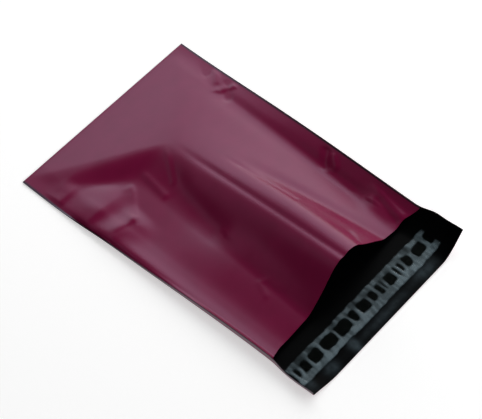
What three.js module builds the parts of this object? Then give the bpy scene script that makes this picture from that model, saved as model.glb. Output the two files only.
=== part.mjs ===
// Poly mailer bag: one film web folded at its closed end and welded up both sides. Its back panel
// runs on past the mouth as a lip, which carries a band of adhesive under a clear release liner.
// Millimetres. +X runs across the bag, +Y from the closed end to the lip, +Z up. A place on the web
// is given as across, its distance from the centre line, and along, its distance from the closed end.
import * as THREE from 'three';
import { ParametricGeometry } from 'three/addons/geometries/ParametricGeometry.js';
import { mergeGeometries, mergeVertices } from 'three/addons/utils/BufferGeometryUtils.js';

const { degToRad, lerp, smoothstep } = THREE.MathUtils;

// The flat bag
const bagWidth = 165;
const bodyLength = 226;
const lipLength = 36;
const filmThickness = 0.3;
const weldWidth = 1.5;
const foldDepth = 1;

// How each side edge stands up off the table: the band of film that stands at the closed end, the
// mouth and the lip, how much of it the bend takes, the turn it reaches, where along the bag the turn
// starts and is full, and the air that the front panel keeps over the back panel beside the weld
const nearEdge = {
  endBand: 4, mouthBand: 9.5, lipBand: 6, bend: 4, mouthTurn: 86, lipTurn: 84, lipLift: 1.5,
  turnStart: 15, turnFull: 90, puff: 5, puffReach: 4.8,
};
const farEdge = {
  endBand: 25, mouthBand: 25, lipBand: 25, bend: 24, mouthTurn: 58, lipTurn: 52, lipLift: 3,
  turnStart: 5, turnFull: 215, puff: 1.8, puffReach: 9,
};
const bandGrowth = 40;
const mouthDrift = -1;
const lipDrift = -2.8;
const lipEase = 14;

// The lip's two free corners curl up a little, which also draws them back
const cornerCurl = { inset: 27, reach: 18, lift: 1.8, setback: 1.6 };

// The front panel's ridge climbs from the closed end to the mouth. Short of the node it forks into
// two hips, one to each corner of the closed end
const ridgeHeight = 27.5;
const ridgeMouthOffset = -1;
const nodeOffset = -9;
const nodeFromEnd = 58;
const hipInset = 6;
const hipRounding = 9;
const nearFlankWidth = 40;
const farFlankMouthWidth = 60;
const farFlankNodeWidth = 72;
const puffHeight = 1.6;
const puffMargin = 18;
const puffRun = 60;

// How far the mouth's edge draws back, between its corners and again at the ridge
const mouthSetback = 3.5;
const ridgeSetback = 4.5;

// Pleats and swells that the ridge throws across the front panel, each a soft line from one place on
// the web to another, with its reach on the left and on the right as one walks along it, and the share
// of its length over which it grows; a negative height is a valley
const pleats = [
  { from: [-17, 92], to: [-16, bodyLength + 6], height: 3.4, reach: [6, 11], growth: 1 },
  { from: [-23, 96], to: [-44, bodyLength + 6], height: -1.4, reach: [5, 6], growth: 1 },
  { from: [-66, 36], to: [-64, 190], height: -1.9, reach: [6, 10], growth: 0.2 },
  { from: [-63, 178], to: [-65, bodyLength + 6], height: 1.6, reach: [7, 7], growth: 0.5 },
  { from: [4, 64], to: [24, 140], height: -1.8, reach: [7, 11], growth: 0.5 },
  { from: [24, 140], to: [31, bodyLength + 6], height: -1.8, reach: [7, 11], growth: 0.1 },
  { from: [47, 96], to: [51, bodyLength + 6], height: 2.3, reach: [12, 12], growth: 0.35 },
  { from: [37, 61], to: [76, 58], height: 1.9, reach: [6, 16], growth: 0.3 },
  { from: [53, 82], to: [80, 79], height: 1.8, reach: [5, 11], growth: 0.3 },
  { from: [62, 32], to: [82, 29], height: 1, reach: [5, 9], growth: 0.2 },
];

// The adhesive band and its liner, on the lip
const bandFromMouth = 8;
const linerWidth = 19;
const linerThickness = 0.2;
const adhesiveMargin = 2.5;
const adhesiveThickness = 0.4;
const bandNearInset = 3;
const bandFarInset = 14;
const layGap = 0.3;

// How finely the film is divided
const columnCount = 36;
const edgeCrowding = 0.4;
const bodyRows = 30;
const bandRows = 4;
const stopMargin = 0.8;

const webLength = bodyLength + lipLength;
const halfWidth = halfOf(bagWidth);
const up = new THREE.Vector3(0, 0, 1);

function halfOf(size) {
  return size / 2;
}

// A strip that bends evenly through an angle and then runs straight: how far it has run and risen
function standUp(distance, turn, bend) {
  if (distance <= 0 || turn < degToRad(0.5)) return { run: distance, rise: 0 };
  const radius = bend / turn;
  const angle = Math.min(distance, bend) / radius;
  const straight = Math.max(distance - bend, 0);
  return {
    run: radius * Math.sin(angle) + straight * Math.cos(turn),
    rise: radius * (1 - Math.cos(angle)) + straight * Math.sin(turn),
  };
}

function ontoLip(along) {
  return smoothstep(along, bodyLength - lipEase / 4, bodyLength + lipEase);
}

// Outer face of the back panel and lip: flat on the table between two edges that stand up
function backFace(across, along, target) {
  const edge = across > 0 ? nearEdge : farEdge;
  const lip = ontoLip(along);
  const bodyBand = lerp(edge.endBand, edge.mouthBand, smoothstep(along, bandGrowth, bodyLength));
  const flat = halfWidth - lerp(bodyBand, edge.lipBand, lip);
  const turn = lerp(edge.mouthTurn, edge.lipTurn, lip) * smoothstep(along, edge.turnStart, edge.turnFull);
  const side = standUp(Math.abs(across) - flat, degToRad(turn), edge.bend);
  const drift = lerp(mouthDrift * smoothstep(along, 0, bodyLength), lipDrift, lip);
  const lift = lip * edge.lipLift * smoothstep(Math.abs(across), flat, halfWidth);
  const curl = smoothstep(Math.abs(across), halfWidth - cornerCurl.inset, halfWidth)
    * smoothstep(along, webLength - cornerCurl.reach, webLength);
  const x = Math.sign(across) * (flat + side.run) + drift;
  const y = along - halfOf(webLength) - cornerCurl.setback * curl;
  return target.set(x, y, side.rise + lift + cornerCurl.lift * curl);
}

// A point raised from a face along the face's own normal
function raise(face, height, across, along, target) {
  const step = 0.05;
  face(across, along, target);
  const acrossFace = face(across + step, along, new THREE.Vector3()).sub(target);
  const alongFace = face(across, along + step, new THREE.Vector3()).sub(target);
  return target.addScaledVector(acrossFace.cross(alongFace).normalize(), height);
}

// Inner face of the back panel, which is also the upper face of the lip
function floorFace(across, along, target) {
  return raise(backFace, filmThickness, across, along, target);
}

function softMax(a, b, rounding) {
  return halfOf(a + b + Math.hypot(a - b, rounding));
}

// Where the front panel's crown lies: a line beyond the node, a spread between the hips before it
function crownAt(along) {
  const beyond = (along - nodeFromEnd) / (bodyLength - nodeFromEnd);
  const ridge = lerp(nodeOffset, ridgeMouthOffset, beyond);
  const corner = halfWidth - hipInset;
  const nearHip = lerp(corner, nodeOffset, along / nodeFromEnd);
  const farHip = lerp(-corner, nodeOffset, along / nodeFromEnd);
  return {
    near: softMax(ridge, nearHip, hipRounding),
    far: -softMax(-ridge, -farHip, hipRounding),
    farWidth: lerp(farFlankNodeWidth, farFlankMouthWidth, beyond),
  };
}

function crownProfile(across, along) {
  const crown = crownAt(along);
  const nearWidth = Math.min(nearFlankWidth, halfWidth - crown.near);
  const farWidth = Math.min(crown.farWidth, halfWidth + crown.far);
  const down = across > crown.near ? (across - crown.near) / nearWidth : (crown.far - across) / farWidth;
  return 1 - smoothstep(down, 0, 1);
}

function pleatHeight(pleat, across, along) {
  const [fromAcross, fromAlong] = pleat.from;
  const runAcross = pleat.to[0] - fromAcross;
  const runAlong = pleat.to[1] - fromAlong;
  const lengthSquared = runAcross ** 2 + runAlong ** 2;
  const share = ((across - fromAcross) * runAcross + (along - fromAlong) * runAlong) / lengthSquared;
  const nearest = THREE.MathUtils.clamp(share, 0, 1);
  const offAcross = across - fromAcross - nearest * runAcross;
  const offAlong = along - fromAlong - nearest * runAlong;
  const [leftReach, rightReach] = pleat.reach;
  const reach = runAcross * offAlong > runAlong * offAcross ? leftReach : rightReach;
  const away = (offAcross ** 2 + offAlong ** 2) / reach ** 2;
  return pleat.height * smoothstep(nearest, 0, pleat.growth) * Math.exp(-away);
}

function edgePuff(across, along) {
  const edge = across > 0 ? nearEdge : farEdge;
  const inside = fromWeld(across) / edge.puffReach;
  return edge.puff * smoothstep(along, edge.turnStart, edge.turnFull) * inside * Math.exp(1 - inside);
}

function fromWeld(across) {
  return Math.max(halfWidth - weldWidth - Math.abs(across), 0);
}

function fromFold(along) {
  return Math.max(along - foldDepth, 0);
}

// Height of the front panel's inner face over the back panel's, nothing at the welds and the fold
function airGap(across, along) {
  const inward = smoothstep(fromWeld(across), 0, puffMargin);
  const climb = ridgeHeight * fromFold(along) / (bodyLength - foldDepth);
  const pleated = pleats.reduce((sum, pleat) => sum + pleatHeight(pleat, across, along), puffHeight);
  const crown = climb * crownProfile(across, along);
  const open = smoothstep(fromFold(along), 0, puffRun);
  return Math.max(inward * (crown + open * pleated), 0) + edgePuff(across, along);
}

function ceilingFace(across, along, target) {
  const gap = airGap(across, along);
  const inward = smoothstep(fromWeld(across), 0, puffMargin);
  const setback = mouthSetback * inward + ridgeSetback * gap / ridgeHeight;
  floorFace(across, along, target);
  target.y -= setback * (fromFold(along) / bodyLength) ** 2;
  return target.addScaledVector(up, gap);
}

function frontFace(across, along, target) {
  return raise(ceilingFace, filmThickness, across, along, target);
}

// A face sampled at given columns across and rows along; flip turns it over
function patch(face, columns, rows, flip) {
  const sample = (u, v, target) => {
    const column = Math.round(u * (columns.length - 1));
    const row = Math.round((flip ? 1 - v : v) * (rows.length - 1));
    face(columns[column], rows[row], target);
  };
  const geometry = new ParametricGeometry(sample, columns.length - 1, rows.length - 1);
  return bare(geometry);
}

function bare(geometry) {
  geometry.deleteAttribute('normal');
  geometry.deleteAttribute('uv');
  return geometry;
}

// The narrow wall between the same line of places on two faces
function wall(lower, upper, places, flip) {
  const sample = (u, v, target) => {
    const [across, along] = places[Math.round((flip ? 1 - u : u) * (places.length - 1))];
    (v < 0.5 ? lower : upper)(across, along, target);
  };
  return bare(new ParametricGeometry(sample, places.length - 1, 1));
}

function closedBody(patches) {
  const geometry = mergeVertices(mergeGeometries(patches), 1e-4);
  geometry.computeVertexNormals();
  return geometry;
}

// Evenly spaced places, or places crowded towards both ends
function spread(from, to, count, crowding = 0) {
  return Array.from({ length: count + 1 }, (_, i) => {
    const t = 2 * i / count - 1;
    const place = lerp(t, Math.sin(t * Math.PI / 2), crowding);
    return lerp(from, to, halfOf(place + 1));
  });
}

// The film is divided where the edges of the adhesive and the liner lie on the lip, so that their
// facets follow its own
const linerEnds = [bandFarInset - halfWidth, halfWidth - bandNearInset];
const adhesiveEnds = [linerEnds[0] + adhesiveMargin, linerEnds[1] - adhesiveMargin];
const evenColumns = spread(weldWidth - halfWidth, halfWidth - weldWidth, columnCount, edgeCrowding);
const innerColumns = withStops(evenColumns, [...linerEnds, ...adhesiveEnds]);
const allColumns = [-halfWidth, ...innerColumns, halfWidth];
const cavityRows = spread(foldDepth, bodyLength, bodyRows);
const frontRows = [0, ...cavityRows];

const bandStart = bodyLength + bandFromMouth;
const bandEnd = bandStart + linerWidth;
const adhesiveRows = spread(bandStart + adhesiveMargin, bandEnd - adhesiveMargin, bandRows);
const linerRows = [bandStart, ...adhesiveRows, bandEnd];
const lipOnlyRows = [bodyLength, ...linerRows, halfOf(bandEnd + webLength), webLength];
const backRows = [...frontRows, ...lipOnlyRows.slice(1)];

// Places with some stops added, in place of any that lie too close to one
function withStops(places, stops) {
  const kept = places.filter((place) => stops.every((stop) => Math.abs(place - stop) > stopMargin));
  return [...kept, ...stops].sort((a, b) => a - b);
}

const lineAlong = (across, rows) => rows.map((along) => [across, along]);
const lineAcross = (columns, along) => columns.map((across) => [across, along]);

function filmGeometry() {
  return closedBody([
    patch(backFace, allColumns, backRows, true),
    patch(floorFace, innerColumns, cavityRows, false),
    patch(floorFace, allColumns, lipOnlyRows, false),
    patch(ceilingFace, innerColumns, cavityRows, true),
    patch(frontFace, allColumns, frontRows, false),
    wall(backFace, floorFace, lineAcross(allColumns, 0), false),
    wall(backFace, floorFace, lineAlong(halfWidth, backRows), false),
    wall(backFace, floorFace, lineAlong(-halfWidth, backRows), true),
    wall(backFace, floorFace, lineAcross(allColumns, webLength), true),
    wall(floorFace, frontFace, lineAcross(allColumns, 0), false),
    wall(floorFace, frontFace, lineAlong(halfWidth, frontRows), false),
    wall(floorFace, frontFace, lineAlong(-halfWidth, frontRows), true),
    wall(ceilingFace, frontFace, lineAcross(allColumns, bodyLength), true),
  ]);
}

// A thin band that lies along the lip at a height over its upper face
function bandGeometry(columns, rows, height, thickness) {
  const lower = (across, along, target) => raise(backFace, height, across, along, target);
  const upper = (across, along, target) => raise(backFace, height + thickness, across, along, target);
  return closedBody([
    patch(lower, columns, rows, true),
    patch(upper, columns, rows, false),
    wall(lower, upper, lineAcross(columns, rows[0]), false),
    wall(lower, upper, lineAcross(columns, rows.at(-1)), true),
    wall(lower, upper, lineAlong(columns.at(-1), rows), false),
    wall(lower, upper, lineAlong(columns[0], rows), true),
  ]);
}

function columnsBetween([from, to]) {
  return innerColumns.filter((across) => across >= from && across <= to);
}

const adhesiveHeight = filmThickness + layGap;
const linerHeight = adhesiveHeight + adhesiveThickness + layGap;

function piece(name, geometry, color, roughness) {
  const material = new THREE.MeshStandardMaterial({ color, roughness, metalness: 0 });
  const mesh = new THREE.Mesh(geometry, material);
  mesh.name = name;
  return mesh;
}

const group = new THREE.Group();
group.add(
  piece('mailer_film', filmGeometry(), 0x5a1f38, 0.3),
  piece(
    'adhesive_strip',
    bandGeometry(columnsBetween(adhesiveEnds), adhesiveRows, adhesiveHeight, adhesiveThickness),
    0x14181a,
    0.25,
  ),
  piece(
    'release_liner',
    bandGeometry(columnsBetween(linerEnds), linerRows, linerHeight, linerThickness),
    0x8a979c,
    0.2,
  ),
);

export default group;
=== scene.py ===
# Poly mailer bag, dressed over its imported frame: the folded and welded film web, the adhesive band on
# its lip, and the clear liner over that. Sizes are in millimetres until a mesh is made.
# A place on the web is given as across, from its centre line, and along, from the closed end.
import math

import bpy
import numpy as np
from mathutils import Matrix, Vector, noise


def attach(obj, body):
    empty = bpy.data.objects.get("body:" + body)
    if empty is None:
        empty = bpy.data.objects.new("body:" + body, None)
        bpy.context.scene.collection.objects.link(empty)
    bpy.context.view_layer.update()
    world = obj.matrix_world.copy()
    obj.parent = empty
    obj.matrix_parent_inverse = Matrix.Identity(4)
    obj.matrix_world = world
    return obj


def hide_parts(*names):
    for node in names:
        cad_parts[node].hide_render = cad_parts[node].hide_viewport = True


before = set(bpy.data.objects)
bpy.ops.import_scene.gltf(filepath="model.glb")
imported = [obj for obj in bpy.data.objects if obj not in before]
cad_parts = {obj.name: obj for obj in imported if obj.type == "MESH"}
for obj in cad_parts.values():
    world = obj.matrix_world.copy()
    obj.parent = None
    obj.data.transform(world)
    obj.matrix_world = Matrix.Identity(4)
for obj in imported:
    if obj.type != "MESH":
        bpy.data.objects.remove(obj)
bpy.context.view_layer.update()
millimetre = 0.001
creaseAngle = 50  # degrees; an edge that turns by less is shaded smooth
normalStep = 0.05  # millimetres between the places that give a face its normal


def smooth(value, low, high):
    t = np.clip((value - low) / (high - low), 0, 1)
    return t * t * (3 - 2 * t)


def mix(low, high, share):
    return low + (high - low) * share


# the photograph's camera, in millimetres: the place it looks at, the way back to it from there, and
# how far off it stands; its lens is that of a 36 mm wide sensor
view = {
    "target": (-0.9, -0.2, 2.1),
    "towards": (0.40634, 0.35824, 0.84057),
    "distance": 1143.6,
    "lens": 123.24,
}


def addCamera():
    target = Vector(view["target"]) * millimetre
    towards = Vector(view["towards"]).normalized()
    bpy.ops.object.camera_add(location=target + towards * view["distance"] * millimetre)
    camera = bpy.context.object
    camera.name = "photoCamera"
    camera.rotation_euler = towards.to_track_quat("Z", "Y").to_euler()
    camera.data.lens = view["lens"]
    camera.data.clip_start = 0.01
    bpy.context.scene.camera = camera


# the film: its flat size, its fold and welds, the form it has taken, and how finely it is divided
web = {
    "width": 165,
    "body": 226,
    "lip": 36,
    "thickness": 0.3,
    "weld": 1.5,
    "weldBlur": 0.4,
    "foldDepth": 1,
    # how each side edge stands up off the table: the band of film that stands at the closed end, the
    # mouth and the lip, how much of it the bend takes, the turn it reaches and where that starts and
    # is full, and the puff of air beside the weld
    "nearEdge": {
        "endBand": 4, "mouthBand": 9.5, "lipBand": 6, "bend": 4, "mouthTurn": 86, "lipTurn": 84,
        "lipLift": 1.5, "turnStart": 15, "turnFull": 90, "puff": 5, "puffReach": 4.8,
        "puffStart": 15, "puffFull": 112,
    },
    "farEdge": {
        "endBand": 25, "mouthBand": 25, "lipBand": 25, "bend": 24, "mouthTurn": 58, "lipTurn": 52,
        "lipLift": 3, "turnStart": 5, "turnFull": 215, "puff": 1.8, "puffReach": 9,
        "puffStart": 5, "puffFull": 215,
    },
    "bandGrowth": 40,  # where the bands start to widen
    "mouthDrift": -1,  # how far the mouth and the lip have slid across
    "lipDrift": -2.8,
    "lipEase": (3.5, 14),  # how far before and past the mouth the body's form turns into the lip's
    # the lip's free corners curl up a little, which also draws them back
    "curlInset": 27,
    "curlReach": 18,
    "curlLift": 1.8,
    "curlSetback": 1.6,
    # the ridge climbs from the closed end to the mouth; short of the node it forks into two hips
    "ridgeHeight": 27.5,
    "ridgeMouthOffset": -1,
    "nodeOffset": -9,
    "nodeFromEnd": 58,
    "hipInset": 6,
    "hipRounding": 9,
    "nearFlankWidth": 40,
    "farFlankMouthWidth": 60,
    "farFlankNodeWidth": 72,
    "puffHeight": 1.6,  # the air that the front keeps under it away from the ridge
    "puffMargin": 18,
    "puffRun": 60,
    "mouthSetback": 3.5,  # how far the mouth's edge draws back, and again at the ridge
    "ridgeSetback": 4.5,
    # pleats and swells over the front: the places each runs through, its height, its reach on the
    # left and on the right as one walks along it, and the share of its length over which it grows; a
    # negative height is a valley
    "pleats": [
        ([(-7, 56), (-4, 232)], -0.9, 2.4, 2.4, 0.3),
        ([(-17, 84), (-16, 232)], 3.1, 7.5, 11, 0.65),
        ([(-23, 96), (-44, 232)], -1.6, 5.5, 6, 0.5),
        ([(-20.5, 94), (-23, 165)], -0.5, 1.5, 1.5, 0.3),
        ([(-28, 207), (-22, 224)], -0.7, 1.8, 2.2, 0.4),
        ([(-76, 16), (-67, 56), (-64, 190)], -1.9, 6, 10, 0.25),
        ([(-63, 178), (-65, 232)], 1.6, 7, 7, 0.5),
        ([(2, 62), (16, 92), (23, 132)], -1.6, 7, 10, 0.35),
        ([(27, 110), (31, 232)], 3.2, 11, 23, 0.45),
        ([(48, 92), (50, 222)], 0.7, 17, 13, 0.3),
        ([(34, 60), (60, 27), (76, 6)], -1.1, 5, 10, 0.3),
        ([(35, 61), (77, 58)], 2.0, 7, 18, 0.6),
        ([(35, 58), (38, 65), (45, 72), (53, 82)], 0.6, 2.2, 5, 0.15),
        ([(45, 84), (80, 81)], 2.2, 13, 13, 0.35),
        ([(51, 82), (60, 82), (74, 78)], 0.6, 1.8, 5, 0.2),
        ([(-3, 58), (15, 82)], 0.4, 1.8, 1.8, 0.35),
        ([(22, 56), (26, 84)], 0.5, 2.5, 2.5, 0.35),
        ([(31, 206), (32, 187), (37, 183), (42, 193)], 0.25, 2.2, 2.2, 0.3),
    ],
    # small crumples of the front layer alone, in the loose film beside the seams, how far from the
    # weld and the closed end they are full, and the most of the air under them that they may take
    "crumples": [
        ([(58, 32), (80, 31)], 0.9, 3.5, 9, 0.5),
        ([(56, 60), (80, 57)], 0.7, 4, 13, 0.6),
        ([(62, 82), (80, 80)], 0.6, 5, 12, 0.5),
        ([(-86, 24), (-74, 33)], -0.7, 3, 4, 0.1),
        ([(-82, 36), (-72, 44)], 0.6, 2.5, 3.5, 0.2),
        ([(-80, 58), (-67, 51)], 0.7, 2, 4, 0.2),
        ([(-80, 49), (-66, 60)], -0.8, 3, 3, 0.3),
        ([(-80, 143), (-66, 153)], -0.8, 3, 3, 0.3),
        ([(-78, 150), (-70, 160)], 0.5, 2, 3, 0.3),
        ([(-75, 186), (-68, 222)], 0.7, 2.5, 3.5, 0.3),
        ([(-68, 196), (-62, 222)], -0.7, 2.5, 3, 0.3),
    ],
    "crumpleFromWeld": 4,
    "crumpleFromEnd": 12,
    "crumpleDepth": 0.5,
    # where painted sheen lies on the black lip, standing in for its reflections: the middle of each
    # patch, its half length across and along, and how much
    "sheenPatches": [
        ((0, 257), (24, 3.0), 0.5),
        ((31, 256), (3.5, 7), 1.0),
        ((-45, 256), (9, 4), 0.8),
        ((54, 256), (5, 4), 0.8),
        ((73, 250), (3, 8), 0.8),
    ],
    "columns": 140,
    "crowding": 0.4,  # how much the columns crowd towards the seams
    "lipRows": 26,
    "backRows": 64,
    "frontRows": 220,
}
halfWidth = web["width"] / 2
webLength = web["body"] + web["lip"]


def edgeValue(name, across):
    return np.where(across > 0, web["nearEdge"][name], web["farEdge"][name])


# how far a strip has run and risen that bends evenly through a turn and then runs straight on
def standUp(distance, turn, bend):
    turn = np.maximum(turn, 1e-4)  # flat film is a very wide bend
    angle = np.clip(distance, 0, bend) / bend * turn
    straight = np.maximum(distance - bend, 0)
    run = np.minimum(distance, 0) + bend / turn * np.sin(angle) + straight * np.cos(turn)
    return run, bend / turn * (1 - np.cos(angle)) + straight * np.sin(turn)


# 0 on the body, 1 on the lip
def ontoLip(along):
    before, past = web["lipEase"]
    return smooth(along, web["body"] - before, web["body"] + past)


# the underside of the back panel and the lip
def backFace(across, along):
    lip = ontoLip(along)
    growth = smooth(along, web["bandGrowth"], web["body"])
    band = mix(edgeValue("endBand", across), edgeValue("mouthBand", across), growth)
    flat = halfWidth - mix(band, edgeValue("lipBand", across), lip)
    turn = mix(edgeValue("mouthTurn", across), edgeValue("lipTurn", across), lip)
    turn = turn * smooth(along, edgeValue("turnStart", across), edgeValue("turnFull", across))
    run, rise = standUp(np.abs(across) - flat, np.radians(turn), edgeValue("bend", across))
    drift = mix(web["mouthDrift"] * smooth(along, 0, web["body"]), web["lipDrift"], lip)
    lift = lip * edgeValue("lipLift", across) * smooth(np.abs(across), flat, halfWidth)
    curl = smooth(np.abs(across), halfWidth - web["curlInset"], halfWidth)
    curl = curl * smooth(along, webLength - web["curlReach"], webLength)
    y = along - webLength / 2 - web["curlSetback"] * curl
    z = rise + lift + web["curlLift"] * curl
    return np.stack([np.sign(across) * (flat + run) + drift, y, z], -1)


# a face lifted along its own normal
def raised(face, height):
    def offset(across, along):
        place = face(across, along)
        acrossStep = face(across + normalStep, along) - place
        alongStep = face(across, along + normalStep) - place
        normal = np.cross(acrossStep, alongStep)
        normal /= np.linalg.norm(normal, axis=-1, keepdims=True)
        return place + normal * np.asarray(height)[..., None]

    return offset


def softMax(a, b, rounding):
    return (a + b + np.hypot(a - b, rounding)) / 2


# the ridge across the bag: 1 at its crest or its hips, 0 at the feet of its flanks
def crownProfile(across, along):
    beyond = (along - web["nodeFromEnd"]) / (web["body"] - web["nodeFromEnd"])
    ridge = mix(web["nodeOffset"], web["ridgeMouthOffset"], beyond)
    corner = halfWidth - web["hipInset"]
    nearHip = mix(corner, web["nodeOffset"], along / web["nodeFromEnd"])
    farHip = mix(-corner, web["nodeOffset"], along / web["nodeFromEnd"])
    near = softMax(ridge, nearHip, web["hipRounding"])
    far = -softMax(-ridge, -farHip, web["hipRounding"])
    nearWidth = np.minimum(web["nearFlankWidth"], halfWidth - near)
    farWidth = mix(web["farFlankNodeWidth"], web["farFlankMouthWidth"], beyond)
    farWidth = np.minimum(farWidth, halfWidth + far)
    down = np.where(across > near, (across - near) / nearWidth, (far - across) / farWidth)
    return 1 - smooth(down, 0, 1)


# a pleat's height, by how far along its line the nearest place is and how far off it
def pleatHeight(pleat, across, along):
    places, height, leftReach, rightReach, growth = pleat
    lengths = [math.dist(start, end) for start, end in zip(places, places[1:])]
    away = np.full(np.shape(across), np.inf)
    progress, reach, walked = 0, leftReach, 0
    for start, end, length in zip(places, places[1:], lengths):
        runAcross, runAlong = end[0] - start[0], end[1] - start[1]
        share = (across - start[0]) * runAcross + (along - start[1]) * runAlong
        nearest = np.clip(share / length**2, 0, 1)
        offAcross = across - start[0] - nearest * runAcross
        offAlong = along - start[1] - nearest * runAlong
        closer = np.hypot(offAcross, offAlong) < away
        side = np.where(runAcross * offAlong > runAlong * offAcross, leftReach, rightReach)
        away = np.where(closer, np.hypot(offAcross, offAlong), away)
        progress = np.where(closer, (walked + nearest * length) / sum(lengths), progress)
        reach = np.where(closer, side, reach)
        walked += length
    return height * smooth(progress, 0, growth) * np.exp(-((away / reach) ** 2))


def fromWeld(across):
    return np.maximum(halfWidth - web["weld"] - np.abs(across), 0)


def fromFold(along):
    return np.maximum(along - web["foldDepth"], 0)


# the air beside the weld, most of it at the puff's reach
def edgePuff(across, along):
    inside = fromWeld(across) / edgeValue("puffReach", across)
    full = smooth(along, edgeValue("puffStart", across), edgeValue("puffFull", across))
    return edgeValue("puff", across) * full * inside * np.exp(1 - inside)


# how far the front panel stands off the back panel
def airGap(across, along):
    inward = smooth(fromWeld(across), 0, web["puffMargin"])
    climb = web["ridgeHeight"] * fromFold(along) / (web["body"] - web["foldDepth"])
    pleated = web["puffHeight"] + sum(pleatHeight(pleat, across, along) for pleat in web["pleats"])
    crown = climb * crownProfile(across, along)
    opened = smooth(fromFold(along), 0, web["puffRun"])
    return np.maximum(inward * (crown + opened * pleated), 0) + edgePuff(across, along)


# the front panel's inner face before its crumples, and its outer face with them
def ceilingFace(across, along):
    gap = airGap(across, along)
    inward = smooth(fromWeld(across), 0, web["puffMargin"])
    setback = web["mouthSetback"] * inward + web["ridgeSetback"] * gap / web["ridgeHeight"]
    place = raised(backFace, web["thickness"])(across, along)
    place[..., 1] -= setback * (fromFold(along) / web["body"]) ** 2
    place[..., 2] += gap
    return place


def frontFace(across, along):
    crumpled = sum(pleatHeight(crumple, across, along) for crumple in web["crumples"])
    loose = smooth(fromWeld(across), 0, web["crumpleFromWeld"])
    loose = loose * smooth(fromFold(along), 0, web["crumpleFromEnd"])
    deepest = -web["crumpleDepth"] * airGap(across, along)  # keeps it off the back panel
    crumpled = np.maximum(loose * crumpled, deepest)
    return raised(ceilingFace, web["thickness"] + crumpled)(across, along)


# divisions from one end to the other, crowded towards both ends
def spread(low, high, count, crowding=0.0):
    t = np.linspace(-1, 1, count + 1)
    return mix(low, high, (mix(t, np.sin(t * np.pi / 2), crowding) + 1) / 2)


# a grid of places as a mesh, with each place's spot on the flat sheet as its UV and what a material
# reads of it as attributes
def addSheet(name, places, flat, shares):
    rows, columns = places.shape[:2]
    corners = np.arange(rows * columns).reshape(rows, columns)
    faces = np.stack([corners[:-1, :-1], corners[:-1, 1:], corners[1:, 1:], corners[1:, :-1]], -1)
    mesh = bpy.data.meshes.new(name)
    mesh.from_pydata((places.reshape(-1, 3) * millimetre).tolist(), [], faces.reshape(-1, 4).tolist())
    mesh.uv_layers.new(name="flatSheet")
    loops = np.empty(len(mesh.loops), dtype=np.int32)
    mesh.loops.foreach_get("vertex_index", loops)
    mesh.uv_layers[0].data.foreach_set("uv", (flat.reshape(-1, 2)[loops] * millimetre).ravel())
    for shareName, share in shares.items():
        attribute = mesh.attributes.new(shareName, "FLOAT", "POINT")
        attribute.data.foreach_set("value", share.ravel().astype(np.float32))
    sheet = bpy.data.objects.new(name, mesh)
    bpy.context.collection.objects.link(sheet)
    return sheet


# the sheet's own thickness, inwards from the modelled face
def finishSheet(sheet, thickness, materials):
    for material in materials:
        sheet.data.materials.append(material)
    bpy.ops.object.select_all(action="DESELECT")
    bpy.context.view_layer.objects.active = sheet
    sheet.select_set(True)
    solidify = sheet.modifiers.new("thickness", "SOLIDIFY")
    solidify.thickness = thickness * millimetre
    solidify.offset = -1
    solidify.use_rim = True
    solidify.material_offset = len(materials) - 1  # the last material faces inwards
    bpy.ops.object.modifier_apply(modifier="thickness")
    bpy.ops.object.shade_smooth_by_angle(angle=math.radians(creaseAngle))


# an sRGB hex colour as linear RGBA
def linear(hexColour):
    channels = [int(hexColour[i : i + 2], 16) / 255 for i in (1, 3, 5)]
    return [c / 12.92 if c <= 0.04045 else ((c + 0.055) / 1.055) ** 2.4 for c in channels] + [1]


# inputs go by name or by number: a Mix node takes its two colours at 6 and 7 and gives them at output 2
def addNode(tree, kind, settings=None, inputs=None):
    node = tree.nodes.new(kind)
    for name, value in (settings or {}).items():
        setattr(node, name, value)
    for name, value in (inputs or {}).items():
        if isinstance(value, bpy.types.NodeSocket):
            tree.links.new(value, node.inputs[name])
        else:
            node.inputs[name].default_value = value
    return node


def newMaterial(name):
    material = bpy.data.materials.new(name)
    material.use_nodes = True
    tree = material.node_tree
    tree.nodes.clear()
    output = addNode(tree, "ShaderNodeOutputMaterial")
    return material, tree, output


# Blown polythene film with a pearl pigment: a satin gloss with a violet cast, whose reflections waver
# with the web's cockle, over a burgundy that is a little uneven along the web
burgundy = {
    "deep": "#7C083A",
    "pale": "#880C42",
    "roughness": 0.3,
    "ior": 1.5,
    "specular": 0.48,
    "glossTint": "#DCDCFF",
    # the weld band's dark grey-mauve: the weld line, with painted shade and a grey painted reflection
    # where the side edge stands up
    "weld": "#3A2430",
    "cockle": 14,
    "cockleHeight": 0.05,
    "grain": 1.2,
    "grainHeight": 0.004,
}


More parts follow.
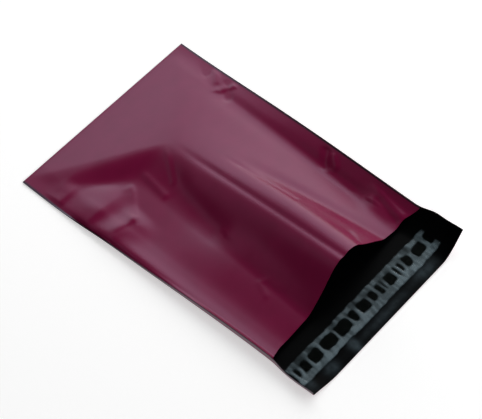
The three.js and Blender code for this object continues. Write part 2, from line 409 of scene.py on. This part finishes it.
def burgundyFilm():
    material, tree, output = newMaterial("burgundyBlownPolythene")
    place = addNode(tree, "ShaderNodeTexCoord").outputs["UV"]
    cockle = addNode(
        tree, "ShaderNodeTexNoise",
        inputs={"Vector": place, "Scale": 1 / (burgundy["cockle"] * millimetre), "Detail": 2},
    )
    grain = addNode(
        tree, "ShaderNodeTexNoise",
        inputs={"Vector": place, "Scale": 1 / (burgundy["grain"] * millimetre), "Detail": 2},
    )
    colour = addNode(
        tree, "ShaderNodeMix", {"data_type": "RGBA"},
        {0: cockle.outputs["Fac"], 6: linear(burgundy["deep"]), 7: linear(burgundy["pale"])},
    )
    # the weld band at each side edge is painted dark: the weld line and the painted shade of the
    # standing edge
    weldAndShade = addNode(tree, "ShaderNodeAttribute", {"attribute_name": "weldAndShade"})
    edgeShaded = addNode(
        tree, "ShaderNodeMix", {"data_type": "RGBA"},
        {0: weldAndShade.outputs["Fac"], 6: colour.outputs[2], 7: linear(burgundy["weld"])},
    )
    wave = addNode(
        tree, "ShaderNodeBump",
        inputs={"Distance": burgundy["cockleHeight"] * millimetre, "Height": cockle.outputs["Fac"]},
    )
    fine = addNode(
        tree, "ShaderNodeBump",
        inputs={
            "Distance": burgundy["grainHeight"] * millimetre,
            "Height": grain.outputs["Fac"],
            "Normal": wave.outputs["Normal"],
        },
    )
    shader = addNode(
        tree, "ShaderNodeBsdfPrincipled",
        inputs={
            "Base Color": edgeShaded.outputs[2],
            "Roughness": burgundy["roughness"],
            "IOR": burgundy["ior"],
            "Specular IOR Level": burgundy["specular"],
            "Specular Tint": linear(burgundy["glossTint"]),
            "Normal": fine.outputs["Normal"],
        },
    )
    tree.links.new(shader.outputs["BSDF"], output.inputs["Surface"])
    return material


# Carbon black polythene, the web's inner layer: near black, with patches of faint blue-grey painted
# sheen on the lip, standing in for its reflections
black = {
    "colour": "#010203",
    "sheenColour": "#55646C",
    "roughness": 0.35,
    "ior": 1.5,
    "specular": 0.06,
    "sheenPatchSize": 5,
}


def blackFilm():
    material, tree, output = newMaterial("carbonBlackPolythene")
    place = addNode(tree, "ShaderNodeTexCoord").outputs["UV"]
    # painted sheen: a blue-grey mixed into the colour where the lip would show reflections
    paintedSheen = addNode(tree, "ShaderNodeAttribute", {"attribute_name": "paintedSheen"})
    patchy = addNode(
        tree, "ShaderNodeTexNoise",
        inputs={"Vector": place, "Scale": 1 / (black["sheenPatchSize"] * millimetre), "Detail": 3},
    )
    share = addNode(
        tree, "ShaderNodeMath", {"operation": "MULTIPLY"},
        {0: paintedSheen.outputs["Fac"], 1: patchy.outputs["Fac"]},
    )
    colour = addNode(
        tree, "ShaderNodeMix", {"data_type": "RGBA"},
        {0: share.outputs[0], 6: linear(black["colour"]), 7: linear(black["sheenColour"])},
    )
    shader = addNode(
        tree, "ShaderNodeBsdfPrincipled",
        inputs={
            "Base Color": colour.outputs[2],
            "Roughness": black["roughness"],
            "IOR": black["ior"],
            "Specular IOR Level": black["specular"],
        },
    )
    tree.links.new(shader.outputs["BSDF"], output.inputs["Surface"])
    return material


# how much painted sheen lies on the lip, standing in for its reflections
def paintedSheenShare(across, along):
    patches = [
        amount * np.exp(-(((across - middle[0]) / size[0]) ** 2) - ((along - middle[1]) / size[1]) ** 2)
        for middle, size, amount in web["sheenPatches"]
    ]
    return np.clip(sum(patches), 0, 1)


def addFilm():
    columns = spread(-halfWidth, halfWidth, web["columns"], web["crowding"])
    lipRows = spread(webLength, web["body"], web["lipRows"])
    backRows = spread(web["body"], 0, web["backRows"])[1:]
    frontRows = spread(0, web["body"], web["frontRows"])
    underRows = np.concatenate([lipRows, backRows])
    under = backFace(*np.meshgrid(columns, underRows))
    over = frontFace(*np.meshgrid(columns, frontRows))
    places = np.concatenate([under, over])
    alongWeb = np.concatenate([webLength - underRows, webLength + frontRows])
    flat = np.stack(np.meshgrid(columns + halfWidth, alongWeb), -1)
    acrossGrid, alongGrid = np.meshgrid(columns, underRows)
    shares = np.zeros(places.shape[:2])
    # painted sheen on the lip, standing in for its reflections
    shares[: len(underRows)] = paintedSheenShare(acrossGrid, alongGrid)
    # the weld band along both side edges, painted dark as the weld line and as painted shade
    beyondWeld = np.abs(columns) - halfWidth + web["weld"]
    weldAndShade = np.broadcast_to(smooth(beyondWeld, -web["weldBlur"], web["weldBlur"]), shares.shape)
    film = addSheet("mailerFilm", places, flat, {"paintedSheen": shares, "weldAndShade": weldAndShade})
    finishSheet(film, web["thickness"], [burgundyFilm(), blackFilm()])
    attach(film, "root")
    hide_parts("mailer_film")


# the band of adhesive on the lip: it lies inside the liner's outline by its margin
adhesive = {
    "margin": 2.5,
    "thickness": 0.4,
    "gap": 0.3,
    "divisions": (200, 20),
    "colour": "#030605",
    "roughness": 0.3,
    "specular": 0.04,
    "lump": 4,
    "lumpHeight": 0.06,
}
# the clear liner over it: its place on the lip, and where air has lifted it
liner = {
    "fromMouth": 8,
    "width": 19,
    "nearInset": 3,
    "farInset": 14,
    "thickness": 0.2,
    "gap": 0.3,
    "divisions": (370, 48),
    "haze": "#8397A0",
    "roughness": 0.22,
    "ior": 1.5,
    "wetAlpha": 0.0,
    "liftedAlpha": 0.54,
    "liftHeight": 0.2,
    # the air along the inner and the outer margin: its middle, and its half width
    "innerRail": (236.4, 1.25),
    "outerRail": (249.7, 1.95),
    "railBlend": 0.5,
    # the air that runs between them: where it meets each rail, and its half width
    "rungs": [
        (-62, -61, 0.9), (-47.5, -46.5, 1.1), (-38, -37, 0.6), (-33, -32.5, 0.6),
        (-28, -28.5, 0.7), (-19, -18, 0.6), (-15.5, -14.5, 0.5), (-9.5, -8.5, 0.8),
        (-1.5, -1, 0.8), (10, 12, 0.9), (19.5, 18.5, 0.7), (33, 34, 0.5),
        (49, 48, 0.9), (60.5, 60.5, 0.7), (69.5, 70, 0.8), (74.5, 75, 0.8),
    ],
    "rounding": 2.2,  # of the corners between rungs and rails, as a share of a rung's half width
    "edgeFade": (-0.9, 0.5),  # from inside the air to outside it
    "endFade": 2,
    # how far the air's edge wanders, and over what length
    "wander": 0.9,
    "wanderSize": 5,
    # the inner rail's haze against the outer one's, how much of it is pressed out again, over what
    # length, and how far past the rail that reaches
    "innerHaze": 0.7,
    "pressed": 0.65,
    "pressedSize": 5,
    "pressedStretch": 0.3,
    "pressedRange": (-0.35, 0.25),
    "pressedFade": (2, 7),
    # how unevenly the haze lies, the size of its streaks, and how they stretch along the web
    "streak": 0.62,
    "streakSize": 2.6,
    "streakStretch": 0.4,
    "streakRange": (-0.5, 0.5),
    "seeds": {"across": 3.5, "along": 8.5, "pressed": 1.5, "streak": 5.5},
}
bandStart = web["body"] + liner["fromMouth"]
bandEnd = bandStart + liner["width"]
linerEnds = (liner["farInset"] - halfWidth, halfWidth - liner["nearInset"])
adhesiveLow = web["thickness"] + adhesive["gap"]
linerLow = adhesiveLow + adhesive["thickness"] + liner["gap"]


# a band laid on the lip at a height over it, with a margin inside the liner's outline
def addBand(name, height, margin, values, material, lift=None):
    columns, rows = values["divisions"]
    across = spread(linerEnds[0] + margin, linerEnds[1] - margin, columns)
    along = spread(bandEnd - margin, bandStart + margin, rows)
    acrossGrid, alongGrid = np.meshgrid(across, along)
    top = np.full(acrossGrid.shape, height + values["thickness"])
    shares = {}
    if lift:
        shares["lifted"] = lift(acrossGrid, alongGrid)
        top += liner["liftHeight"] * shares["lifted"]
    places = raised(backFace, top)(acrossGrid, alongGrid)
    flat = np.stack([acrossGrid - linerEnds[0], alongGrid - bandStart], -1)
    piece = addSheet(name, places, flat, shares)
    finishSheet(piece, values["thickness"], [material])
    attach(piece, "root")
    return piece


# Hot melt pressure sensitive adhesive, laid as a bead and rolled level: dark, with hardly any gloss of
# its own, because it wets the liner and leaves no air under it
def hotMelt():
    material, tree, output = newMaterial("hotMeltAdhesive")
    place = addNode(tree, "ShaderNodeTexCoord").outputs["UV"]
    lumps = addNode(
        tree, "ShaderNodeTexNoise",
        inputs={"Vector": place, "Scale": 1 / (adhesive["lump"] * millimetre), "Detail": 2},
    )
    surface = addNode(
        tree, "ShaderNodeBump",
        inputs={"Distance": adhesive["lumpHeight"] * millimetre, "Height": lumps.outputs["Fac"]},
    )
    shader = addNode(
        tree, "ShaderNodeBsdfPrincipled",
        inputs={
            "Base Color": linear(adhesive["colour"]),
            "Roughness": adhesive["roughness"],
            "Specular IOR Level": adhesive["specular"],
            "Normal": surface.outputs["Normal"],
        },
    )
    tree.links.new(shader.outputs["BSDF"], output.inputs["Surface"])
    return material


def addAdhesive():
    piece = addBand("adhesiveBand", adhesiveLow, adhesive["margin"], adhesive, hotMelt())
    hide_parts("adhesive_strip")


# smooth noise over the web; a seed picks its layer
def wander(across, along, size, seed):
    places = np.stack([across / size, along / size, np.full(across.shape, seed)], -1).reshape(-1, 3)
    return np.array([noise.noise(place) for place in places.tolist()]).reshape(across.shape)


def softMin(a, b, rounding):
    return (a + b - np.hypot(a - b, rounding)) / 2


# how much air lies under the liner: 1 where it is lifted, 0 where the adhesive wets it
def liftedShare(across, along):
    size, seeds = liner["wanderSize"], liner["seeds"]
    movedAcross = across + liner["wander"] * wander(across, along, size, seeds["across"])
    movedAlong = along + liner["wander"] * wander(across, along, size, seeds["along"])
    (innerMiddle, innerHalf), (outerMiddle, outerHalf) = liner["innerRail"], liner["outerRail"]
    inner = np.abs(movedAlong - innerMiddle) - innerHalf
    outer = np.abs(movedAlong - outerMiddle) - outerHalf
    between = (movedAlong - innerMiddle) / (outerMiddle - innerMiddle)
    beyond = np.maximum(-between, between - 1) * (outerMiddle - innerMiddle)
    edge = softMin(inner, outer, liner["railBlend"])
    for innerEnd, outerEnd, half in liner["rungs"]:
        rung = np.abs(movedAcross - mix(innerEnd, outerEnd, between)) - half
        edge = softMin(edge, np.maximum(rung, beyond), liner["rounding"] * half)
    lifted = 1 - smooth(edge, *liner["edgeFade"])
    pressing = wander(across, along * liner["pressedStretch"], liner["pressedSize"], seeds["pressed"])
    unpressed = smooth(pressing, *liner["pressedRange"])
    innerKept = liner["innerHaze"] * (1 - liner["pressed"] * (1 - unpressed))
    kept = mix(innerKept, 1, smooth(movedAlong - innerMiddle, *liner["pressedFade"]))
    streaking = wander(across, along * liner["streakStretch"], liner["streakSize"], seeds["streak"])
    streaks = liner["streak"] * smooth(streaking, *liner["streakRange"])
    ends = smooth(np.minimum(across - linerEnds[0], linerEnds[1] - across), 0, liner["endFade"])
    return lifted * kept * ends * (1 - streaks)


# Clear siliconised polyester liner: where air lies under it, it shows a pale grey-green haze, and where
# the adhesive wets it, it can hardly be seen
def clearLiner():
    material, tree, output = newMaterial("siliconisedPolyesterLiner")
    lifted = addNode(tree, "ShaderNodeAttribute", {"attribute_name": "lifted"})
    alpha = addNode(
        tree, "ShaderNodeMapRange", {},
        {
            "Value": lifted.outputs["Fac"],
            "To Min": liner["wetAlpha"],
            "To Max": liner["liftedAlpha"],
        },
    )
    shader = addNode(
        tree, "ShaderNodeBsdfPrincipled",
        inputs={
            "Base Color": linear(liner["haze"]),
            "Roughness": liner["roughness"],
            "IOR": liner["ior"],
            "Alpha": alpha.outputs["Result"],
        },
    )
    tree.links.new(shader.outputs["BSDF"], output.inputs["Surface"])
    return material


def addLiner():
    piece = addBand("clearLiner", linerLow, 0, liner, clearLiner(), liftedShare)
    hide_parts("release_liner")


# Matt paper sweep under five softboxes, in metres: the glow that only the camera and reflections see
# keeps the paper white to the eye, and the bag's shadow still falls on it
studio = {
    "floorSize": 8,
    "floorDrop": 0.0004,  # keeps the floor clear of the film's own underside
    "floorColour": "#F6F6F6",
    "floorRoughness": 0.9,
    "floorGlow": 0.5,
    "worldColour": "#FFFFFF",
    "worldLevel": 0.05,
    # the place of each softbox, which faces the bag, its width and height, and its radiance
    "softboxes": {
        "farSweep": {"place": (-1.05, -0.75, 0.62), "size": (2.4, 1.25), "radiance": 2.1},
        "mouthKey": {"place": (-0.85, 0.95, 0.85), "size": (1.6, 1.2), "radiance": 1.3},
        "upperSweep": {"place": (-0.55, -0.45, 1.15), "size": (1.2, 0.3), "radiance": 0.7},
        "topStrip": {"place": (0.2, -0.74, 1.02), "size": (1.2, 0.3), "radiance": 0.45},
        "nearKey": {"place": (0.8, 1.15, 0.6), "size": (1.0, 0.6), "radiance": 1.3},
    },
}


def addFloor():
    bpy.ops.mesh.primitive_plane_add(size=studio["floorSize"], location=(0, 0, -studio["floorDrop"]))
    floor = bpy.context.object
    floor.name = "floor"
    bpy.ops.object.transform_apply(location=True)
    material, tree, output = newMaterial("paperSweep")
    rays = addNode(tree, "ShaderNodeLightPath")
    seen = addNode(
        tree, "ShaderNodeMath", {"operation": "ADD"},
        {0: rays.outputs["Is Camera Ray"], 1: rays.outputs["Is Glossy Ray"]},
    )
    seenThrough = addNode(
        tree, "ShaderNodeMath", {"operation": "ADD", "use_clamp": True},
        {0: seen.outputs[0], 1: rays.outputs["Is Transmission Ray"]},
    )
    glow = addNode(
        tree, "ShaderNodeMath", {"operation": "MULTIPLY"},
        {0: seenThrough.outputs[0], 1: studio["floorGlow"]},
    )
    shader = addNode(
        tree, "ShaderNodeBsdfPrincipled",
        inputs={
            "Base Color": linear(studio["floorColour"]),
            "Roughness": studio["floorRoughness"],
            "Specular IOR Level": 0,
            "Emission Color": (1, 1, 1, 1),
            "Emission Strength": glow.outputs[0],
        },
    )
    tree.links.new(shader.outputs["BSDF"], output.inputs["Surface"])
    floor.data.materials.append(material)


def addLights():
    for name, softbox in studio["softboxes"].items():
        width, height = softbox["size"]
        bpy.ops.object.light_add(type="AREA", location=softbox["place"])
        lamp = bpy.context.object
        lamp.name = name
        lamp.rotation_euler = Vector(softbox["place"]).to_track_quat("Z", "Y").to_euler()
        lamp.data.shape = "RECTANGLE"
        lamp.data.size = width
        lamp.data.size_y = height
        lamp.data.energy = softbox["radiance"] * math.pi * width * height
    world = bpy.data.worlds.new("studio")
    bpy.context.scene.world = world
    world.use_nodes = True
    background = world.node_tree.nodes["Background"]
    background.inputs["Color"].default_value = linear(studio["worldColour"])
    background.inputs["Strength"].default_value = studio["worldLevel"]


addCamera()
print("camera placed")
addFilm()
print("film folded")
addAdhesive()
addLiner()
print("adhesive and liner laid")
addFloor()
addLights()
print("studio lit")

bpy.context.scene.view_settings.view_transform = "Standard"
